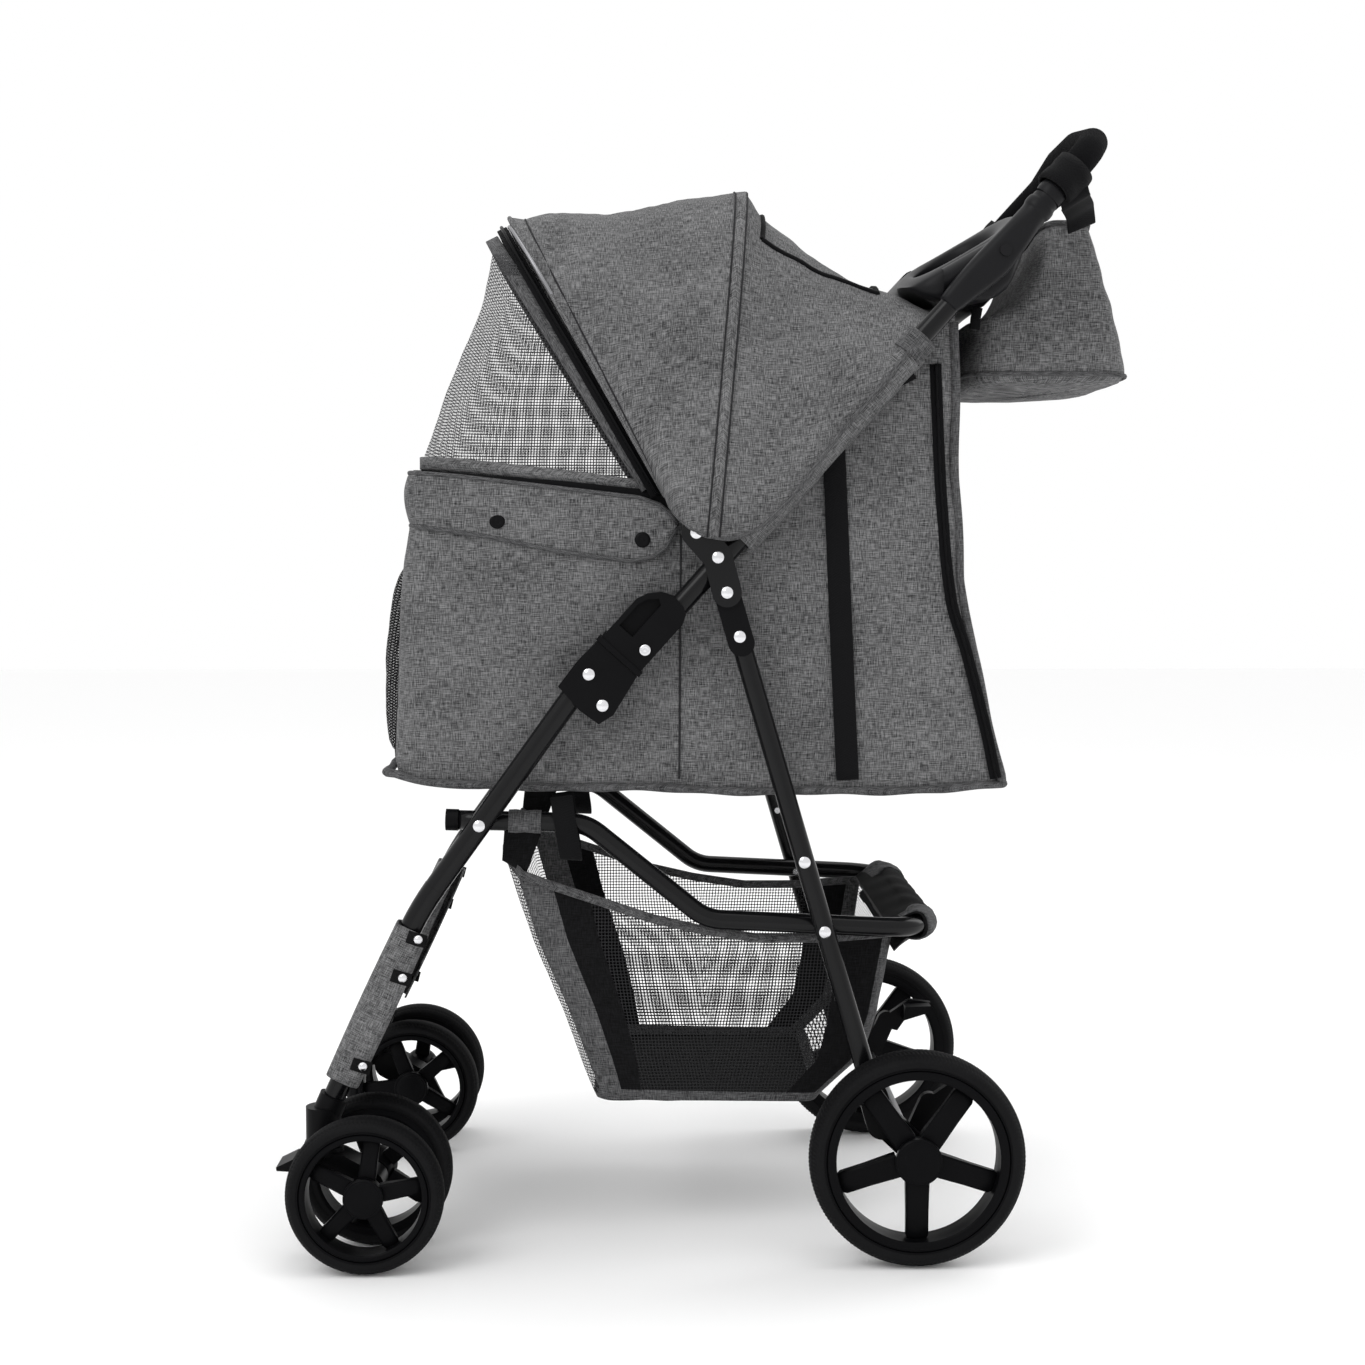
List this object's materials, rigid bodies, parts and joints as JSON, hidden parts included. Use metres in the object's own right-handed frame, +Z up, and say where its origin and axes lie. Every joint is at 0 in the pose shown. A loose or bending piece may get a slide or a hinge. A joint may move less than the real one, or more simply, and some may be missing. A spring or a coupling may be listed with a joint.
{
  "type": "pet stroller",
  "caption": "Folding pet stroller with a cloth cabin, folding canopy, mesh window, under-basket, handle tray, hanging bag and swivelling twin front wheels.",
  "frame": {"origin": "on the floor under the middle of the bounding box", "axes": "+X to the rear where the handle is, -X to the front casters, +Z up, +Y to the right-hand side seen by someone pushing"},
  "size_m": [0.743, 0.4684, 0.9883],
  "materials": {
    "black_tube": "gloss black powder coat",
    "black_plastic": "satin moulded",
    "grey_plastic": "fine texture",
    "rivet_steel": "polished",
    "axle_steel": "satin",
    "hoop_steel": "satin",
    "grey_cloth": "heathered plain weave",
    "black_webbing": "ribbed webbing",
    "black_mesh": "open net",
    "foam": "matt foam",
    "tyre": "fine tread"
  },
  "bodies": {
    "front_frame": {"front_leg_left": "black_tube", "front_leg_right": "black_tube", "lock_body_left": "black_plastic", "lock_body_right": "black_plastic", "front_apron": "grey_cloth", "caster_sockets": "black_plastic", "front_rivets": "rivet_steel"},
    "handle": {"handle_tube_left": "black_tube", "handle_tube_right": "black_tube", "bracket_left": "black_tube", "bracket_right": "black_tube", "handle_rivets": "rivet_steel", "tray": "grey_plastic", "tray_arm_left": "grey_plastic", "tray_arm_right": "grey_plastic", "tray_screws": "black_plastic", "grip_foam": "foam", "cabin_shell": "grey_cloth", "cabin_straps": "black_webbing", "cabin_zip": "black_webbing", "front_pocket": "black_mesh", "front_flap": "grey_cloth", "flap_snaps": "black_plastic", "under_straps": "black_webbing", "canopy_rear": "grey_cloth"},
    "lock_left": {"lock_slider_left": "black_plastic"},
    "lock_right": {"lock_slider_right": "black_plastic"},
    "mid_hoop": {"canopy_mid_hoop": "hoop_steel"},
    "front_hoop": {"canopy_front_hoop": "hoop_steel", "canopy_front": "grey_cloth"},
    "window": {"mesh_window": "black_mesh"},
    "bag": {"handle_bag": "grey_cloth", "bag_straps": "black_webbing"},
    "rails": {"basket_rail": "black_tube", "rail_plugs": "black_plastic", "basket": "black_mesh"},
    "rear_frame": {"rear_leg_left": "black_tube", "rear_leg_right": "black_tube", "rear_collars": "black_plastic", "rear_axle": "axle_steel", "axle_brackets": "black_plastic", "rear_rivets": "rivet_steel"},
    "brake_left": {"brake_lever_left": "black_plastic"},
    "brake_right": {"brake_lever_right": "black_plastic"},
    "caster_left": {"caster_fork_left": "black_plastic"},
    "caster_right": {"caster_fork_right": "black_plastic"},
    "caster_lock_left": {"caster_lock_left": "black_plastic"},
    "caster_lock_right": {"caster_lock_right": "black_plastic"},
    "rear_wheel_left": {"tyre_rear_left": "tyre", "wheel_rear_left": "black_plastic"},
    "rear_wheel_right": {"tyre_rear_right": "tyre", "wheel_rear_right": "black_plastic"},
    "outer_wheel_left": {"tyre_outer_left": "tyre", "wheel_outer_left": "black_plastic"},
    "inner_wheel_left": {"tyre_inner_left": "tyre", "wheel_inner_left": "black_plastic"},
    "outer_wheel_right": {"tyre_outer_right": "tyre", "wheel_outer_right": "black_plastic"},
    "inner_wheel_right": {"tyre_inner_right": "tyre", "wheel_inner_right": "black_plastic"}
  },
  "joints": [
    {"name": "fold", "type": "hinge", "parent": "front_frame", "child": "handle", "pos_m": [-0.0925, 0, 0.478], "axis": [0, 1, 0], "range_deg": [0, 118], "deforming": ["cabin_shell", "cabin_straps", "cabin_zip", "front_pocket", "front_flap", "flap_snaps", "under_straps", "canopy_rear", "basket"]},
    {"name": "rail_fold", "type": "hinge", "parent": "front_frame", "child": "rails", "pos_m": [-0.1975, 0, 0.3755], "axis": [0, 1, 0], "range_deg": [0, 71.89]},
    {"name": "rear_leg_fold", "type": "hinge", "parent": "rails", "child": "rear_frame", "pos_m": [0.0969, 0, 0.2835], "axis": [0, 1, 0], "range_deg": [-30.3, 0]},
    {"name": "lock_left_slide", "type": "slide", "parent": "handle", "child": "lock_left", "axis": [0.6691, 0, 0.7431], "range_m": [0, 0.018]},
    {"name": "lock_right_slide", "type": "slide", "parent": "handle", "child": "lock_right", "axis": [0.6691, 0, 0.7431], "range_m": [0, 0.018]},
    {"name": "canopy_open", "type": "hinge", "parent": "handle", "child": "front_hoop", "pos_m": [-0.0132, 0, 0.6238], "axis": [0, 1, 0], "range_deg": [0, 61], "deforming": ["canopy_front"]},
    {"name": "mid_hoop_follow", "type": "hinge", "parent": "handle", "child": "mid_hoop", "pos_m": [-0.0132, 0, 0.6238], "axis": [0, 1, 0], "range_deg": [0, 32.5]},
    {"name": "window_open", "type": "hinge", "parent": "handle", "child": "window", "pos_m": [-0.2555, 0, 0.6805], "axis": [0, 1, 0], "range_deg": [-110, 0], "deforming": ["mesh_window"]},
    {"name": "bag_swing", "type": "hinge", "parent": "handle", "child": "bag", "pos_m": [0.2966, 0, 0.9189], "axis": [0, 1, 0], "range_deg": [-18, 2], "deforming": ["handle_bag", "bag_straps"]},
    {"name": "brake_left_press", "type": "hinge", "parent": "rear_frame", "child": "brake_left", "pos_m": [0.1748, -0.16, 0.0925], "axis": [0, 1, 0], "range_deg": [0, 18]},
    {"name": "rear_left_spin", "type": "hinge", "parent": "rear_frame", "child": "rear_wheel_left", "pos_m": [0.1748, -0.2055, 0.0925], "axis": [0, 1, 0], "continuous": true},
    {"name": "caster_left_swivel", "type": "hinge", "parent": "front_frame", "child": "caster_left", "pos_m": [-0.333, -0.1805, 0.098], "axis": [0, 0, 1], "continuous": true},
    {"name": "caster_lock_left_press", "type": "hinge", "parent": "caster_left", "child": "caster_lock_left", "pos_m": [-0.341, -0.1805, 0.086], "axis": [0, 1, 0], "range_deg": [0, 20]},
    {"name": "outer_left_spin", "type": "hinge", "parent": "caster_left", "child": "outer_wheel_left", "pos_m": [-0.293, -0.2185, 0.067], "axis": [0, 1, 0], "continuous": true},
    {"name": "inner_left_spin", "type": "hinge", "parent": "caster_left", "child": "inner_wheel_left", "pos_m": [-0.293, -0.1425, 0.067], "axis": [0, 1, 0], "continuous": true},
    {"name": "brake_right_press", "type": "hinge", "parent": "rear_frame", "child": "brake_right", "pos_m": [0.1748, 0.16, 0.0925], "axis": [0, 1, 0], "range_deg": [0, 18]},
    {"name": "rear_right_spin", "type": "hinge", "parent": "rear_frame", "child": "rear_wheel_right", "pos_m": [0.1748, 0.2055, 0.0925], "axis": [0, 1, 0], "continuous": true},
    {"name": "caster_right_swivel", "type": "hinge", "parent": "front_frame", "child": "caster_right", "pos_m": [-0.333, 0.1805, 0.098], "axis": [0, 0, 1], "continuous": true},
    {"name": "caster_lock_right_press", "type": "hinge", "parent": "caster_right", "child": "caster_lock_right", "pos_m": [-0.341, 0.1805, 0.086], "axis": [0, 1, 0], "range_deg": [0, 20]},
    {"name": "outer_right_spin", "type": "hinge", "parent": "caster_right", "child": "outer_wheel_right", "pos_m": [-0.293, 0.2185, 0.067], "axis": [0, 1, 0], "continuous": true},
    {"name": "inner_right_spin", "type": "hinge", "parent": "caster_right", "child": "inner_wheel_right", "pos_m": [-0.293, 0.1425, 0.067], "axis": [0, 1, 0], "continuous": true}
  ],
  "couplings": [
    {"joint": "rail_fold", "follows": "fold", "ratio": 0.605},
    {"joint": "rear_leg_fold", "follows": "fold", "ratio": -0.2525},
    {"joint": "mid_hoop_follow", "follows": "canopy_open", "ratio": 0.5}
  ]
}
